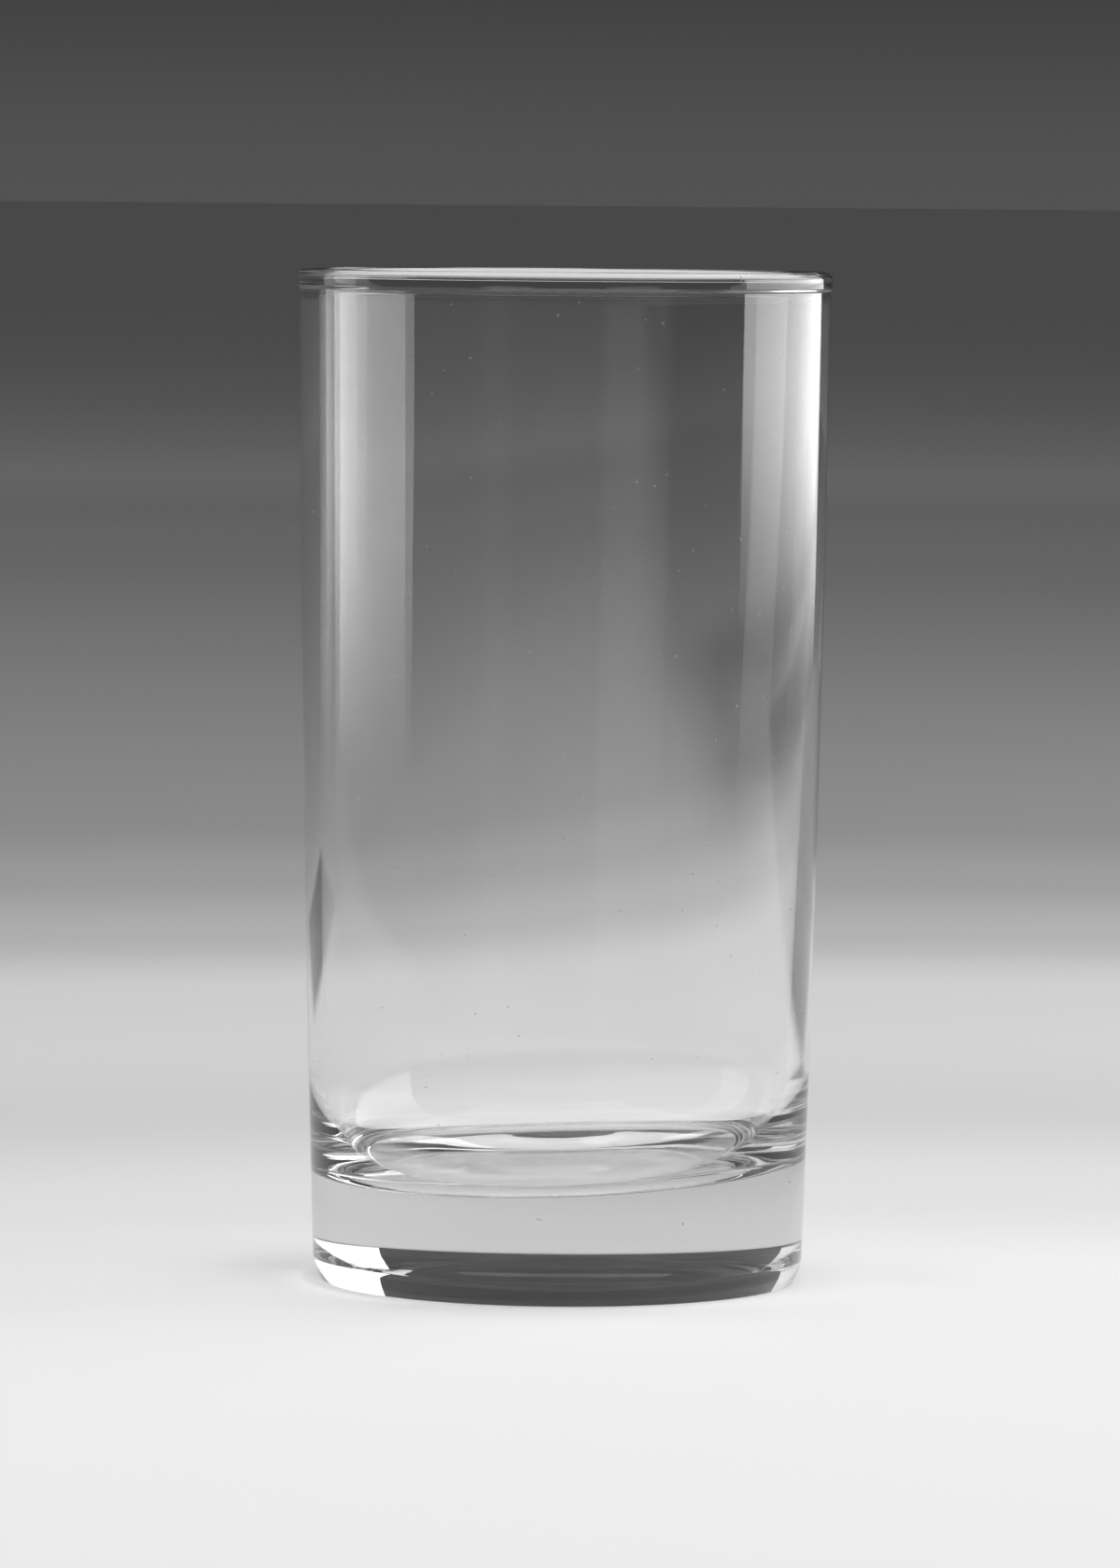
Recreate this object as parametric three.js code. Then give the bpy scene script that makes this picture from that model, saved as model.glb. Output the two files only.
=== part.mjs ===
// Juice glass: a round tumbler of clear moulded glass with a heavy base, a thin, slightly
// tapered wall and a thickened rim. Millimetres, +Z up, origin at the middle of the foot.
import * as THREE from 'three';

// Outside form
const glassHeight = 121.2; // table to the top of the rim
const footDiameter = 58.7; // outside of the side, carried down to the table
const mouthDiameter = 63.6; // outside of the side, carried up to the top
const sideBelly = 0.36; // how far the side stands out past a straight cone, at half height

// Base
const floorHeight = 13.4; // table to the inside floor
const heelHeight = 3.0; // oval rounding between the flat foot and the side
const heelWidth = 1.0; // how much smaller the flat foot is than the side, all round

// Wall
const wallThickness = 1.65; // under the rim
const wallFootThickness = 2.2; // where the wall leaves the inside corner
const cornerHeight = 12; // oval rounding inside, between floor and wall
const cornerWidth = 5.2; // how much smaller the floor is than the hollow above the rounding, all round

// Rim
const rimHeight = 2.4; // top of the wall to the top of the rim
const rimProud = 0.2; // how far the rim stands out of the wall, outside and inside
const rimSlopeHeight = 0.5; // height over which the rim widens from the wall
const lipRadius = 0.8; // rounding of both edges of the lip

// Facets
const segmentsRound = 72;
const sideSteps = 8;
const arcSteps = 6;
const lipSteps = 4;

// Radius of the outside of the side at a height: a cone with a slight belly
function outerRadius(z) {
  const share = z / glassHeight;
  const cone = footDiameter / 2 + (mouthDiameter - footDiameter) / 2 * share;
  return cone + 4 * sideBelly * share * (1 - share);
}

const cornerTop = floorHeight + cornerHeight;
const wallTop = glassHeight - rimHeight;

// Radius of the inside of the wall: the wall thins evenly from the inside corner to the rim
function innerRadius(z) {
  const share = (z - cornerTop) / (wallTop - cornerTop);
  return outerRadius(z) - THREE.MathUtils.lerp(wallFootThickness, wallThickness, share);
}

// Points of the outside or inside of the side between two heights
function sidePoints(radiusAt, fromZ, toZ, steps) {
  const points = [];
  for (let i = 0; i <= steps; i++) {
    const z = THREE.MathUtils.lerp(fromZ, toZ, i / steps);
    points.push(new THREE.Vector2(radiusAt(z), z));
  }
  return points;
}

// Points of a round stretch of the profile
function arcPoints(centreR, centreZ, radiusR, radiusZ, fromAngle, toAngle, steps) {
  const clockwise = toAngle < fromAngle;
  return new THREE.EllipseCurve(centreR, centreZ, radiusR, radiusZ, fromAngle, toAngle, clockwise).getPoints(steps);
}

const glass = new THREE.MeshStandardMaterial({
  color: 0xeef2f1,
  roughness: 0.03,
  metalness: 0,
  transparent: true,
  opacity: 0.35,
});

// A named solid turned about the upright axis from its half section
function turned(name, profile) {
  const geometry = new THREE.LatheGeometry(profile, segmentsRound);
  geometry.rotateX(Math.PI / 2);
  const mesh = new THREE.Mesh(geometry, glass.clone());
  mesh.name = name;
  return mesh;
}

// Base: flat foot, heel, side, inside floor
function makeBase() {
  const footRadius = outerRadius(heelHeight) - heelWidth;
  return turned('base', [
    new THREE.Vector2(0, 0),
    ...arcPoints(footRadius, heelHeight, heelWidth, heelHeight, -Math.PI / 2, 0, arcSteps),
    ...sidePoints(outerRadius, heelHeight, floorHeight, 2).slice(1),
    new THREE.Vector2(0, floorHeight),
  ]);
}

// Wall: outside, top, inside, inside corner, and the ring that stands on the base
function makeWall() {
  const cornerCentre = innerRadius(cornerTop) - cornerWidth;
  return turned('wall', [
    ...sidePoints(outerRadius, floorHeight, wallTop, sideSteps),
    ...sidePoints(innerRadius, wallTop, cornerTop, sideSteps),
    ...arcPoints(cornerCentre, cornerTop, cornerWidth, cornerHeight, 0, -Math.PI / 2, arcSteps).slice(1),
    new THREE.Vector2(outerRadius(floorHeight), floorHeight),
  ]);
}

// Rim: a lip a little wider than the wall, with both of its edges rounded
function makeRim() {
  const wallOut = outerRadius(wallTop);
  const wallIn = innerRadius(wallTop);
  const lipOut = wallOut + rimProud;
  const lipIn = wallIn - rimProud;
  const slopeTop = wallTop + rimSlopeHeight;
  const roundingZ = glassHeight - lipRadius;
  return turned('rim', [
    new THREE.Vector2(wallIn, wallTop),
    new THREE.Vector2(wallOut, wallTop),
    new THREE.Vector2(lipOut, slopeTop),
    ...arcPoints(lipOut - lipRadius, roundingZ, lipRadius, lipRadius, 0, Math.PI / 2, lipSteps),
    ...arcPoints(lipIn + lipRadius, roundingZ, lipRadius, lipRadius, Math.PI / 2, Math.PI, lipSteps),
    new THREE.Vector2(lipIn, slopeTop),
    new THREE.Vector2(wallIn, wallTop),
  ]);
}

const juiceGlass = new THREE.Group();
juiceGlass.name = 'juice_glass';
juiceGlass.add(makeBase(), makeWall(), makeRim());

export default juiceGlass;
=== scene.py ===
import math

import bpy
from mathutils import Euler, Matrix, Vector


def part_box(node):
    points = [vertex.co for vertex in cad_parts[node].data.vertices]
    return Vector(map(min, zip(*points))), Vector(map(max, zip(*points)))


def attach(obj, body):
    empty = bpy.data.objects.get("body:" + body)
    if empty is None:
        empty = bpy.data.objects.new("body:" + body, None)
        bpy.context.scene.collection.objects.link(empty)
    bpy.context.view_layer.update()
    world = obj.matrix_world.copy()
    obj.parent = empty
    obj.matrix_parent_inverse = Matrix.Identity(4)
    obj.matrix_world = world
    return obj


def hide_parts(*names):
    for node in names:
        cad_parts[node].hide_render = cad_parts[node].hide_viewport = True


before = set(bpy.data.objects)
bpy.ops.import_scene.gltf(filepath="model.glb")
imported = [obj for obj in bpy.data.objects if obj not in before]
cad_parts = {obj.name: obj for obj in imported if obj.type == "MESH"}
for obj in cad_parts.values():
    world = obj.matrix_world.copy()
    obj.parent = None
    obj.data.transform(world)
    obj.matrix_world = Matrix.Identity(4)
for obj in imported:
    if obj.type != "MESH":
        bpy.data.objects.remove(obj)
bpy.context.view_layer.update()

scene = bpy.context.scene
scene.view_settings.view_transform = "Standard"
scene.cycles.max_bounces = 40       # light turns many times in the thick base
scene.cycles.transmission_bounces = 40
scene.cycles.glossy_bounces = 24
scene.cycles.diffuse_bounces = 8
scene.cycles.blur_glossy = 0.0      # light falls through the glass unblurred

mm = 0.001
print("frame loaded:", len(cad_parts), "nodes")


def smoothStep(t):
    t = min(1.0, max(0.0, t))
    return t * t * (3 - 2 * t)


def mixValue(a, b, t):
    return a + (b - a) * t


def addMesh(name, verts, faces):
    mesh = bpy.data.meshes.new(name)
    mesh.from_pydata(verts, [], faces)
    piece = bpy.data.objects.new(name, mesh)
    scene.collection.objects.link(piece)
    return piece


def addSheet(name, x, y, z):
    corners = [(x[0], y[0], z), (x[1], y[0], z), (x[1], y[1], z), (x[0], y[1], z)]
    return addMesh(name, corners, [(0, 1, 2, 3)])


def addMaterial(piece, name):
    mat = bpy.data.materials.new(name)
    mat.use_nodes = True
    piece.data.materials.append(mat)
    return mat.node_tree, mat.node_tree.nodes["Principled BSDF"]


# each value is a link from another node or a fixed number
def mathsNode(tree, operation, *values):
    node = tree.nodes.new("ShaderNodeMath")
    node.operation = operation
    for socket, value in zip(node.inputs, values):
        if isinstance(value, bpy.types.NodeSocket):
            tree.links.new(value, socket)
        else:
            socket.default_value = value
    return node.outputs[0]


# soft step from low to high as the value goes from start to stop
def stepNode(tree, value, start, stop, low=0.0, high=1.0):
    node = tree.nodes.new("ShaderNodeMapRange")
    node.interpolation_type = "SMOOTHSTEP"
    node.inputs["From Min"].default_value = start
    node.inputs["From Max"].default_value = stop
    node.inputs["To Min"].default_value = low
    node.inputs["To Max"].default_value = high
    tree.links.new(value, node.inputs["Value"])
    return node.outputs["Result"]


def splitAxes(tree, point):
    node = tree.nodes.new("ShaderNodeSeparateXYZ")
    tree.links.new(point, node.inputs[0])
    return node.outputs


def worldSpot(tree):
    return tree.nodes.new("ShaderNodeNewGeometry").outputs["Position"]


# the one piece of glass, foot to lip
tumbler = {
    "name": "tumbler_glass",
    "sideBelly": 0.28 * mm,       # side stands out past a straight cone
    "wallAtRim": 1.65 * mm,       # thickness under the lip
    "wallAtFoot": 2.2 * mm,       # thickness above the inside corner
    "cornerWidth": 5.2 * mm,      # inside corner, an oval rounding
    "cornerHeight": 12.0 * mm,
    "floorDish": 0.9 * mm,        # the floor is lower in the middle
    "dishRadius": 15 * mm,
    "dishPower": 2.0,             # higher is flatter in the middle
    "dishForward": 3.0 * mm,      # its middle lies in front of the axis
    "floorTilt": 2.2,             # degrees, the floor rises to the right
    "floorLean": 2.0,             # degrees, and to the back
    "floorMargin": 0.01 * mm,     # points within this of the floor are dished
    "tiltTop": 34 * mm,           # the tilt has died out here
    "shiftLow": -0.3 * mm,        # the hollow sits off centre, low down and at the rim
    "shiftHigh": 0.45 * mm,
    "heelWidth": 1.0 * mm,        # the foot is this much smaller than the side
    "heelHeight": 3.0 * mm,
    "heelPower": 1.7,             # 2 is a parabola, 1 a plain bevel
    "footHollow": 0.03 * mm,      # underside, a hair hollow
    "neckOutside": 0.5 * mm,      # lip widens from the wall over this height
    "neckInside": 1.4 * mm,
    "lipRadius": 0.8 * mm,        # both edges of the lip
    "lipCrown": 0.06 * mm,        # top of the lip is a little domed
    "segments": 288,              # round the glass
    "footRows": 16,
    "heelRows": 24,
    "heelSpread": 0.8,            # below 1 the heel's rows are closer near its top
    "sideRows": 66,               # up the side, outside and inside
    "evenRows": 0.4,              # 1 spaces the outside rows evenly, 0 crowds them at both ends
    "neckRows": 12,
    "faceRows": 7,                # upright face of the lip
    "edgeRows": 16,               # each rounded edge of the lip
    "crownRows": 8,
    "cornerRows": 40,
    "floorRows": 36,
}


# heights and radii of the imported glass
def glassLevels(shape):
    rimLow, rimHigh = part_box("rim")
    wallLow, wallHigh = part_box("wall")
    return {
        "top": rimHigh.z,
        "wallTop": rimLow.z,
        "cornerTop": wallLow.z + shape["cornerHeight"],
        "floor": wallLow.z,
        "lipOuter": rimHigh.x,
        "wallOuter": wallHigh.x,
        "floorOuter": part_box("base")[1].x,
    }


def outerRadius(shape, levels, z):
    share = (z - levels["floor"]) / (levels["wallTop"] - levels["floor"])
    cone = mixValue(levels["floorOuter"], levels["wallOuter"], share)
    return cone + 4 * shape["sideBelly"] * share * (1 - share)


def innerRadius(shape, levels, z):
    share = (z - levels["cornerTop"]) / (levels["wallTop"] - levels["cornerTop"])
    return outerRadius(shape, levels, z) - mixValue(shape["wallAtFoot"], shape["wallAtRim"], share)


def arcPoints(centreR, centreZ, radiusR, radiusZ, start, stop, count):
    angles = [math.radians(mixValue(start, stop, i / count)) for i in range(count + 1)]
    return [(centreR + radiusR * math.cos(a), centreZ + radiusZ * math.sin(a)) for a in angles]


# underside from the middle out, then the heel
def footPoints(shape, levels):
    heel = shape["heelHeight"]
    side = outerRadius(shape, levels, heel)
    foot = side - shape["heelWidth"]
    points = []
    for i in range(shape["footRows"]):
        share = 1 - (1 - i / shape["footRows"]) ** 2
        points.append((foot * share, shape["footHollow"] * (1 - share ** 2) ** 2))
    for i in range(shape["heelRows"] + 1):
        z = heel * (i / shape["heelRows"]) ** shape["heelSpread"]
        points.append((side - shape["heelWidth"] * (1 - z / heel) ** shape["heelPower"], z))
    return points


def sidePoints(shape, levels):
    points = []
    for i in range(1, shape["sideRows"]):
        share = i / shape["sideRows"]
        share = mixValue(smoothStep(share), share, shape["evenRows"])
        z = mixValue(shape["heelHeight"], levels["wallTop"], share)
        points.append((outerRadius(shape, levels, z), z))
    return points


# one side of the lip going up: soft neck, upright face, rounded edge; out is 1 outside, -1 inside
def lipPoints(shape, levels, wallR, out, neck):
    wallTop, lip = levels["wallTop"], shape["lipRadius"]
    edgeZ = levels["top"] - shape["lipCrown"] - lip
    proud = out * (levels["lipOuter"] - outerRadius(shape, levels, wallTop))
    points = []
    for i in range(shape["neckRows"] + 1):
        share = i / shape["neckRows"]
        points.append((wallR + proud * smoothStep(share), wallTop + neck * share))
    for i in range(1, shape["faceRows"]):
        points.append((wallR + proud, mixValue(wallTop + neck, edgeZ, i / shape["faceRows"])))
    for r, z in arcPoints(0, edgeZ, lip, lip, 0, 90, shape["edgeRows"]):
        points.append((wallR + proud + out * (r - lip), z))
    return points


# across the top of the lip
def crownPoints(shape, levels, start, stop):
    points = []
    for i in range(1, shape["crownRows"]):
        share = i / shape["crownRows"]
        fall = shape["lipCrown"] * (2 * share - 1) ** 2
        points.append((mixValue(start, stop, share), levels["top"] - fall))
    return points


# inside of the wall going down, then the corner and the floor
def hollowPoints(shape, levels):
    cornerTop = levels["cornerTop"]
    points = []
    for i in range(1, shape["sideRows"]):
        z = mixValue(levels["wallTop"], cornerTop, i / shape["sideRows"])
        points.append((innerRadius(shape, levels, z), z))
    width, height = shape["cornerWidth"], shape["cornerHeight"]
    floorR = innerRadius(shape, levels, cornerTop) - width
    points += arcPoints(floorR, cornerTop, width, height, 0, -90, shape["cornerRows"])
    for i in range(1, shape["floorRows"] + 1):
        points.append((floorR * (1 - i / shape["floorRows"]), levels["floor"]))
    return points


# half section from under the foot to the floor; the third number is 0 outside and 1 in the hollow
def glassSection(shape, levels):
    wallTop = levels["wallTop"]
    outside = footPoints(shape, levels) + sidePoints(shape, levels)
    outside += lipPoints(shape, levels, outerRadius(shape, levels, wallTop), 1, shape["neckOutside"])
    inside = lipPoints(shape, levels, innerRadius(shape, levels, wallTop), -1, shape["neckInside"])
    crown = crownPoints(shape, levels, outside[-1][0], inside[-1][0])
    inside.reverse()
    inside += hollowPoints(shape, levels)
    section = [(r, z, 0.0) for r, z in outside]
    section += [(r, z, i / shape["crownRows"]) for i, (r, z) in enumerate(crown, 1)]
    section += [(r, z, 1.0) for r, z in inside]
    return section


# the hollow is a little off centre and its floor leans, as in many moulded glasses
def settleHollow(point, shape, levels, hollow):
    if hollow == 0.0:
        return point
    x, y, z = point
    floor, wallTop, tiltTop = levels["floor"], levels["wallTop"], shape["tiltTop"]
    up = smoothStep((z - floor) / (wallTop - floor))
    x += hollow * mixValue(shape["shiftLow"], shape["shiftHigh"], up)
    rise = x * math.tan(math.radians(shape["floorTilt"])) + y * math.tan(math.radians(shape["floorLean"]))
    rise *= smoothStep((tiltTop - z) / (tiltTop - floor))
    dish = 0.0
    if z < floor + shape["floorMargin"]:
        away = min(1.0, math.hypot(x, y + shape["dishForward"]) / shape["dishRadius"])
        dish = shape["floorDish"] * (1 - away ** shape["dishPower"]) ** 2
    return x, y, z + rise - dish


def turnGlass(shape):
    levels = glassLevels(shape)
    section = glassSection(shape, levels)
    count = shape["segments"]
    turns = [2 * math.pi * k / count for k in range(count)]
    verts = [(0.0, 0.0, section[0][1])]
    rings = []
    for r, z, hollow in section[1:-1]:
        rings.append(len(verts))
        for a in turns:
            verts.append(settleHollow((r * math.cos(a), r * math.sin(a), z), shape, levels, hollow))
    floorMiddle = len(verts)
    verts.append(settleHollow((0.0, 0.0, section[-1][1]), shape, levels, 1.0))
    faces = []
    for k in range(count):
        n = (k + 1) % count
        faces.append((0, rings[0] + n, rings[0] + k))
        for ring, nextRing in zip(rings, rings[1:]):
            faces.append((ring + k, ring + n, nextRing + n, nextRing + k))
        faces.append((rings[-1] + k, rings[-1] + n, floorMiddle))
    piece = addMesh(shape["name"], verts, faces)
    mesh = piece.data
    mesh.polygons.foreach_set("use_smooth", [True] * len(mesh.polygons))
    footRing = range(rings[shape["footRows"] - 1], rings[shape["footRows"]])
    for edge in mesh.edges:
        edge.use_edge_sharp = all(v in footRing for v in edge.vertices)    # crisp edge round the foot
    mesh.update()
    return piece


clearGlass = {
    "color": (1.0, 1.0, 1.0, 1.0),
    "ior": 1.51,
    "tint": (0.61, 0.61, 0.605, 1.0),  # colour that the thick glass leans to
    "tintDensity": 12.0,               # per metre
    "waveScale": 90.0,                 # slow waves of the wall, per metre
    "waveStretch": (1.0, 1.0, 0.3),    # they run up the glass
    "waveDepth": 0.010 * mm,
    "grainScale": 700.0,               # fine mould grain, near the foot only
    "grainDepth": 0.004 * mm,
    "grainTop": 6.0 * mm,
    "smearScale": 45.0,                # faint wiping smears
    "smearFrom": 0.52,                 # noise where they start and are full
    "smearTo": 0.72,
    "smearRoughness": 0.02,
    "speckScale": 240.0,               # dust specks, one to a cell
    "speckSize": 0.045,                # share of a cell
    "speckRoughness": 0.55,
}


def glassNoise(tree, spot, scale, detail):
    noise = tree.nodes.new("ShaderNodeTexNoise")
    noise.inputs["Scale"].default_value = scale
    noise.inputs["Detail"].default_value = detail
    tree.links.new(spot, noise.inputs["Vector"])
    return noise.outputs["Fac"]


def glassBump(tree, height, depth):
    bump = tree.nodes.new("ShaderNodeBump")
    bump.inputs["Distance"].default_value = depth
    tree.links.new(height, bump.inputs["Height"])
    return bump


# slow waves all over, fine grain low down
def waveAndGrain(tree, look, spot, drawn):
    waves = glassBump(tree, glassNoise(tree, drawn, look["waveScale"], 0.0), look["waveDepth"])
    lowDown = stepNode(tree, splitAxes(tree, spot)["Z"], look["grainTop"] / 2, look["grainTop"], 1.0, 0.0)
    fine = glassNoise(tree, spot, look["grainScale"], 1.0)
    grain = glassBump(tree, mathsNode(tree, "MULTIPLY", fine, lowDown), look["grainDepth"])
    tree.links.new(waves.outputs["Normal"], grain.inputs["Normal"])
    return grain.outputs["Normal"]


# wiping smears and dust dull the polish here and there
def smearAndDust(tree, look, spot, drawn):
    wiped = glassNoise(tree, drawn, look["smearScale"], 1.0)
    smears = stepNode(tree, wiped, look["smearFrom"], look["smearTo"], 0.0, look["smearRoughness"])
    cells = tree.nodes.new("ShaderNodeTexVoronoi")
    cells.inputs["Scale"].default_value = look["speckScale"]
    tree.links.new(spot, cells.inputs["Vector"])
    size = look["speckSize"]
    specks = stepNode(tree, cells.outputs["Distance"], size / 2, size, look["speckRoughness"], 0.0)
    return mathsNode(tree, "MAXIMUM", smears, specks)


def finishGlass(piece, look):
    tree, shader = addMaterial(piece, "clear_glass")
    shader.inputs["Base Color"].default_value = look["color"]
    shader.inputs["IOR"].default_value = look["ior"]
    shader.inputs["Transmission Weight"].default_value = 1.0
    spot = tree.nodes.new("ShaderNodeTexCoord").outputs["Object"]
    stretch = tree.nodes.new("ShaderNodeMapping")
    stretch.inputs["Scale"].default_value = look["waveStretch"]
    tree.links.new(spot, stretch.inputs["Vector"])
    drawn = stretch.outputs["Vector"]
    tree.links.new(waveAndGrain(tree, look, spot, drawn), shader.inputs["Normal"])
    tree.links.new(smearAndDust(tree, look, spot, drawn), shader.inputs["Roughness"])
    tint = tree.nodes.new("ShaderNodeVolumeAbsorption")
    tint.inputs["Color"].default_value = look["tint"]
    tint.inputs["Density"].default_value = look["tintDensity"]
    tree.links.new(tint.outputs["Volume"], tree.nodes["Material Output"].inputs["Volume"])


glass = turnGlass(tumbler)
finishGlass(glass, clearGlass)
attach(glass, "root")
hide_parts("base", "wall", "rim")
print("glass turned:", len(glass.data.vertices), "points")


# pale table with a painted pool of light: pale near the glass, graded to grey away from it as painted
# light falloff on top of the lamps' own light
table = {
    "size": 400.0,
    "middle": (0.08, -0.25, 0.0),    # middle of the painted pool of light
    "reach": 4.0,                    # the painted falloff is set over this distance
    "paintedFalloff": (                      # distance, tone of the painted falloff
        (0.0, 0.94), (0.25, 0.93), (0.35, 0.78), (0.46, 0.63), (0.55, 0.65),
        (0.65, 0.63), (0.76, 0.45), (0.89, 0.35), (1.04, 0.29), (1.45, 0.285),
        (2.23, 0.28), (2.77, 0.315), (3.5, 0.43),
    ),
    "roughness": 0.6,
    "drop": 0.02 * mm,               # just under the foot
}


def layTable(look):
    half = look["size"] / 2
    top = addSheet("table", (-half, half), (-half, half), -look["drop"])
    tree, shader = addMaterial(top, "table_painted_light_pool")
    shader.inputs["Roughness"].default_value = look["roughness"]
    shader.inputs["Specular IOR Level"].default_value = 0.0
    # painted pool of light: the tone by distance from its middle stands in for light falloff
    gap = tree.nodes.new("ShaderNodeVectorMath")
    gap.operation = "DISTANCE"
    gap.inputs[1].default_value = look["middle"]
    tree.links.new(worldSpot(tree), gap.inputs[0])
    paintedFalloff = tree.nodes.new("ShaderNodeValToRGB")
    paintedFalloff.color_ramp.interpolation = "EASE"
    steps = paintedFalloff.color_ramp.elements
    while len(steps) < len(look["paintedFalloff"]):
        steps.new(0.5)
    for step, (distance, tone) in zip(steps, look["paintedFalloff"]):
        step.position = distance / look["reach"]
        step.color = (tone, tone, tone, 1)
    tree.links.new(mathsNode(tree, "DIVIDE", gap.outputs["Value"], look["reach"]), paintedFalloff.inputs["Fac"])
    tree.links.new(paintedFalloff.outputs["Color"], shader.inputs["Base Color"])


layTable(table)
print("table laid")

# painted shade: dark cards lie on the table, seen by the glass alone, and paint shade into its
# reflections and refractions where the camera sees the pale table; 3 bounces is light turned in the edge
# of the wall, 4 is light that came straight through
shadeCards = {
    "rightNearShade": {
        "x": (0.06, 0.62), "y": (0.16, 0.80), "soft": (0.05, 0.05), "strength": 1.0, "bounces": 3,
    },
    "leftNearShade": {
        "x": (-0.44, -0.12), "y": (0.26, 0.54), "soft": (0.05, 0.05), "strength": 1.0, "bounces": 3,
    },
    "rightFarShade": {
        "x": (0.20, 1.15), "y": (0.60, 1.75), "soft": (0.10, 0.10), "strength": 1.0, "bounces": 3,
    },
    "rightShade": {
        "x": (0.02, 0.90), "y": (0.70, 7.0), "soft": (0.035, 0.5), "strength": 0.42, "bounces": 4,
    },
    "rightDeepShade": {
        "x": (0.04, 0.50), "y": (0.46, 1.35), "soft": (0.04, 0.30), "strength": 0.62, "bounces": 4,
    },
}
shadeCardLook = {
    # dark tone of the painted shade
    "tone": 0.04,
    "roughness": 0.8,
    "lift": 0.5 * mm,        # one above the other
    "bounceMargin": 0.5,     # nearest whole number of bounces
}


# 1 inside the span, 0 at its ends
def edgeFade(tree, value, span, soft):
    rising = stepNode(tree, value, span[0], span[0] + soft)
    falling = stepNode(tree, value, span[1], span[1] - soft)
    return mathsNode(tree, "MULTIPLY", rising, falling)


def layShadeCard(name, shadeCard, look, place):
    # painted shade: a dark sheet that only glossy and transmission rays see, at the given bounce count
    sheet = addSheet(name, shadeCard["x"], shadeCard["y"], look["lift"] * place)
    tree, shader = addMaterial(sheet, name)
    shader.inputs["Base Color"].default_value = (look["tone"], look["tone"], look["tone"], 1)
    shader.inputs["Roughness"].default_value = look["roughness"]
    axes = splitAxes(tree, worldSpot(tree))
    across = edgeFade(tree, axes["X"], shadeCard["x"], shadeCard["soft"][0])
    along = edgeFade(tree, axes["Y"], shadeCard["y"], shadeCard["soft"][1])
    solid = mathsNode(tree, "MULTIPLY", mathsNode(tree, "MULTIPLY", across, along), shadeCard["strength"])
    depth = tree.nodes.new("ShaderNodeLightPath").outputs["Ray Depth"]
    turned = mathsNode(tree, "COMPARE", depth, shadeCard["bounces"], look["bounceMargin"])
    tree.links.new(mathsNode(tree, "MULTIPLY", solid, turned), shader.inputs["Alpha"])
    sheet.visible_camera = False
    sheet.visible_diffuse = False
    sheet.visible_shadow = False


for place, (name, shadeCard) in enumerate(shadeCards.items(), 1):
    layShadeCard(name, shadeCard, shadeCardLook, place)
print("cards laid:", len(shadeCards))

# side softboxes stand along the line of sight; places are in metres
softboxes = {
    "rightKey": {
        "side": 0.70,
        "front": -0.095,
        "back": 1.05,
        "low": 0.0,
        "high": 1.8,
        "level": 2.76,
        "slant": 0.03,        # the low end hangs lower towards the back
        "fadeFrom": 0.018,    # it fades out towards its low end
        "fadeTo": 0.080,
        "dimFrom": 0.15,      # and is dimmer higher up
        "dimTo": 0.45,
        "topShare": 0.4,
    },
    "leftKey": {
        "side": -0.70,
        "front": 0.125,
        "back": 0.498,
        "low": 0.0,
        "high": 1.2,
        "level": 1.05,
        "slant": 0.0,
        "fadeFrom": 0.022,
        "fadeTo": 0.072,
        "dimFrom": 0.15,
        "dimTo": 0.45,
        "topShare": 0.6,
    },
}


def hangSoftbox(name, box):
    lamp = bpy.data.lights.new(name, "AREA")
    lamp.shape = "RECTANGLE"
    lamp.size = box["back"] - box["front"]
    lamp.size_y = box["high"] - box["low"]
    lamp.energy = box["level"] * math.pi * lamp.size * lamp.size_y
    lamp.use_nodes = True
    tree = lamp.node_tree
    axes = splitAxes(tree, worldSpot(tree))
    slope = mathsNode(tree, "MULTIPLY_ADD", axes["Y"], box["slant"], axes["Z"])
    fade = stepNode(tree, slope, box["fadeFrom"], box["fadeTo"])
    dim = stepNode(tree, axes["Z"], box["dimFrom"], box["dimTo"], 1.0, box["topShare"])
    tree.links.new(mathsNode(tree, "MULTIPLY", fade, dim), tree.nodes["Emission"].inputs["Strength"])
    obj = bpy.data.objects.new(name, lamp)
    scene.collection.objects.link(obj)
    obj.location = (box["side"], (box["front"] + box["back"]) / 2, (box["low"] + box["high"]) / 2)
    obj.rotation_euler = Vector((box["side"], 0, 0)).to_track_quat("Z", "Y").to_euler()


for name, box in softboxes.items():
    hangSoftbox(name, box)
print("softboxes hung:", len(softboxes))

overhead = {"size": 4.6, "height": 2.4, "level": 1.1, "shift": (0.0, -0.7)}


def hangOverhead(look):
    lamp = bpy.data.lights.new("overhead", "AREA")
    lamp.shape = "SQUARE"
    lamp.size = look["size"]
    lamp.energy = look["level"] * math.pi * look["size"] ** 2
    obj = bpy.data.objects.new("overhead", lamp)
    scene.collection.objects.link(obj)
    obj.location = (*look["shift"], look["height"])


hangOverhead(overhead)
print("overhead hung")

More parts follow.
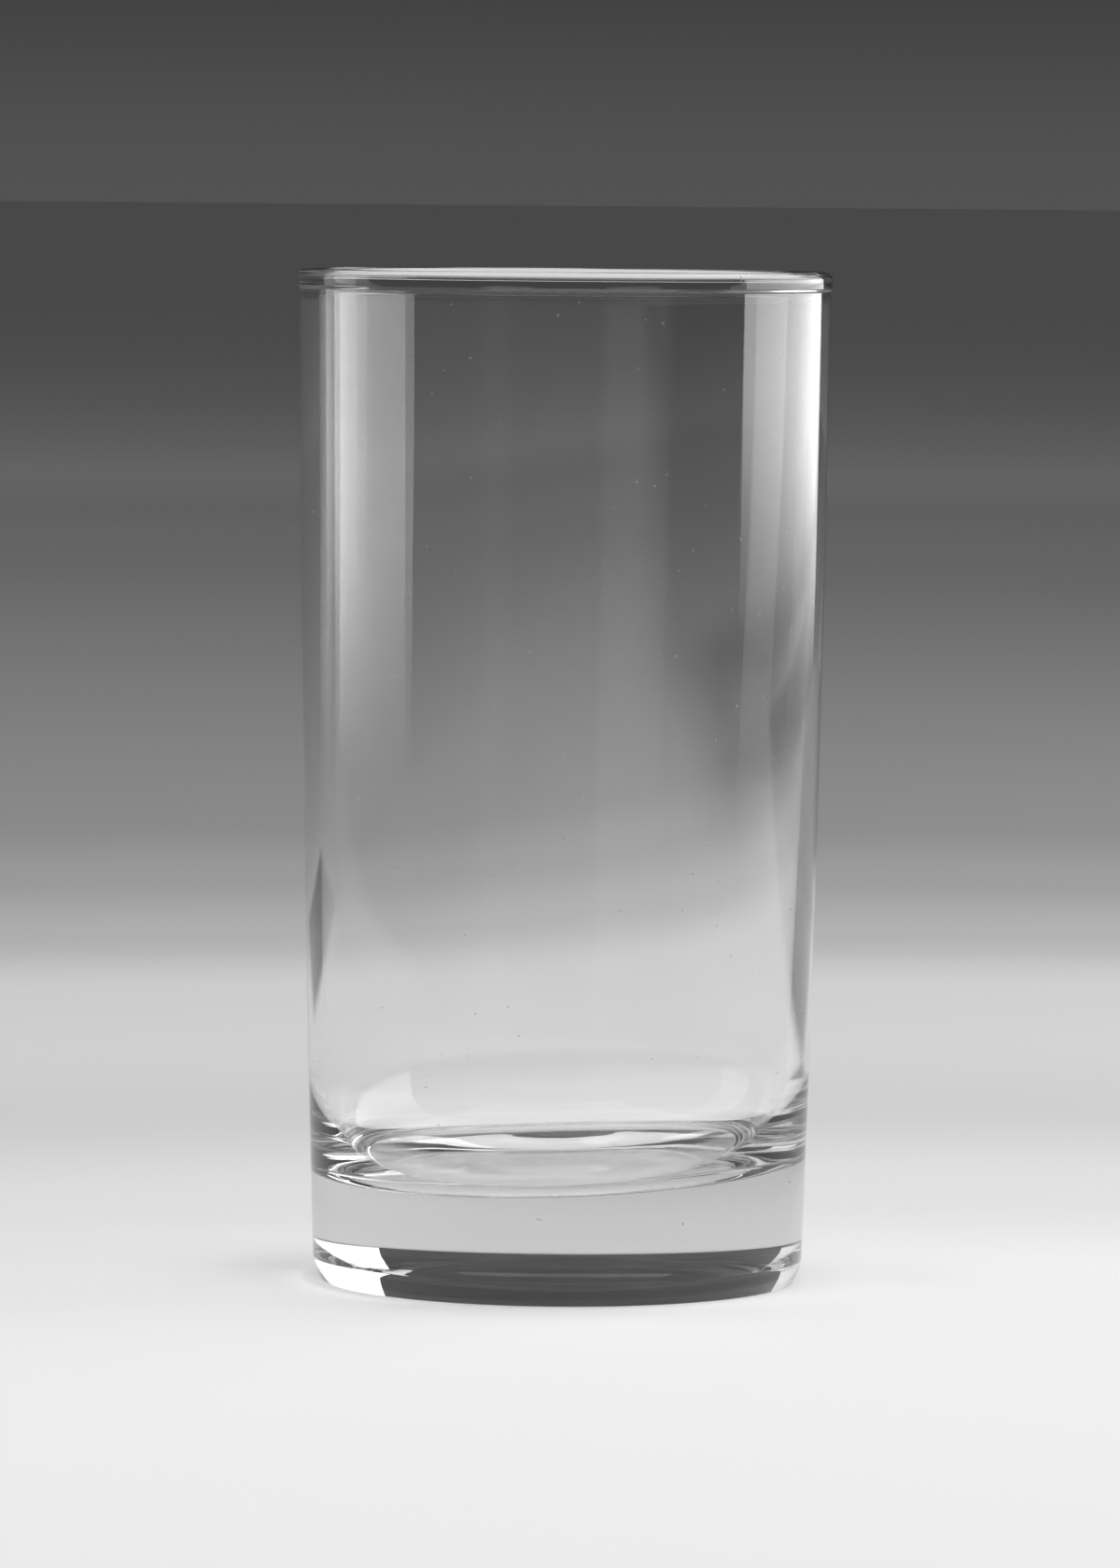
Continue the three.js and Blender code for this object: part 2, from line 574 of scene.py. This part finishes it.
# dark room, a little lighter low down; the table is lit by more of it than shows
studio = {
    "low": 0.085,        # at the table's far end
    "high": 0.05,        # overhead
    "rise": 0.03,        # how quickly it darkens going up
    "fill": 0.15,        # what it adds to the table
}


def paintStudio(look):
    world = bpy.data.worlds.new("studio")
    scene.world = world
    world.use_nodes = True
    tree = world.node_tree
    shade = tree.nodes["Background"]
    shade.inputs["Color"].default_value = (1, 1, 1, 1)
    way = tree.nodes.new("ShaderNodeTexCoord").outputs["Generated"]
    room = stepNode(tree, splitAxes(tree, way)["Z"], 0.0, look["rise"], look["low"], look["high"])
    path = tree.nodes.new("ShaderNodeLightPath").outputs
    seen = mathsNode(tree, "MAXIMUM", path["Is Camera Ray"], path["Is Glossy Ray"])
    seen = mathsNode(tree, "MAXIMUM", seen, path["Is Transmission Ray"])
    level = tree.nodes.new("ShaderNodeMix")
    level.inputs["A"].default_value = look["fill"]
    tree.links.new(seen, level.inputs["Factor"])
    tree.links.new(room, level.inputs["B"])
    tree.links.new(level.outputs["Result"], shade.inputs["Strength"])


paintStudio(studio)
print("studio painted")

# the photo is 1200 x 1680, so the lens is worked out on its long side
photoCamera = {
    "away": 1.0661,
    "height": 0.12956,
    "tilt": 3.755,           # degrees down
    "roll": 0.499,           # degrees
    "yaw": 0.008,            # degrees, a hair off centre
    "focalPixels": 9533.0,
    "longSidePixels": 1680.0,
    "sensor": 36.0,
    "farthest": 500.0,       # past the table's far end
}


def setCamera(look):
    cam = bpy.data.cameras.new("photo_camera")
    cam.sensor_width = look["sensor"]
    cam.lens = look["focalPixels"] * look["sensor"] / look["longSidePixels"]
    cam.clip_end = look["farthest"]
    obj = bpy.data.objects.new("photo_camera", cam)
    scene.collection.objects.link(obj)
    obj.location = (0, -look["away"], look["height"])
    aim = Euler((math.radians(90 - look["tilt"]), 0, math.radians(look["yaw"])), "XYZ").to_matrix()
    obj.rotation_euler = (aim @ Matrix.Rotation(math.radians(look["roll"]), 3, "Z")).to_euler()
    scene.camera = obj


setCamera(photoCamera)
print("camera set")
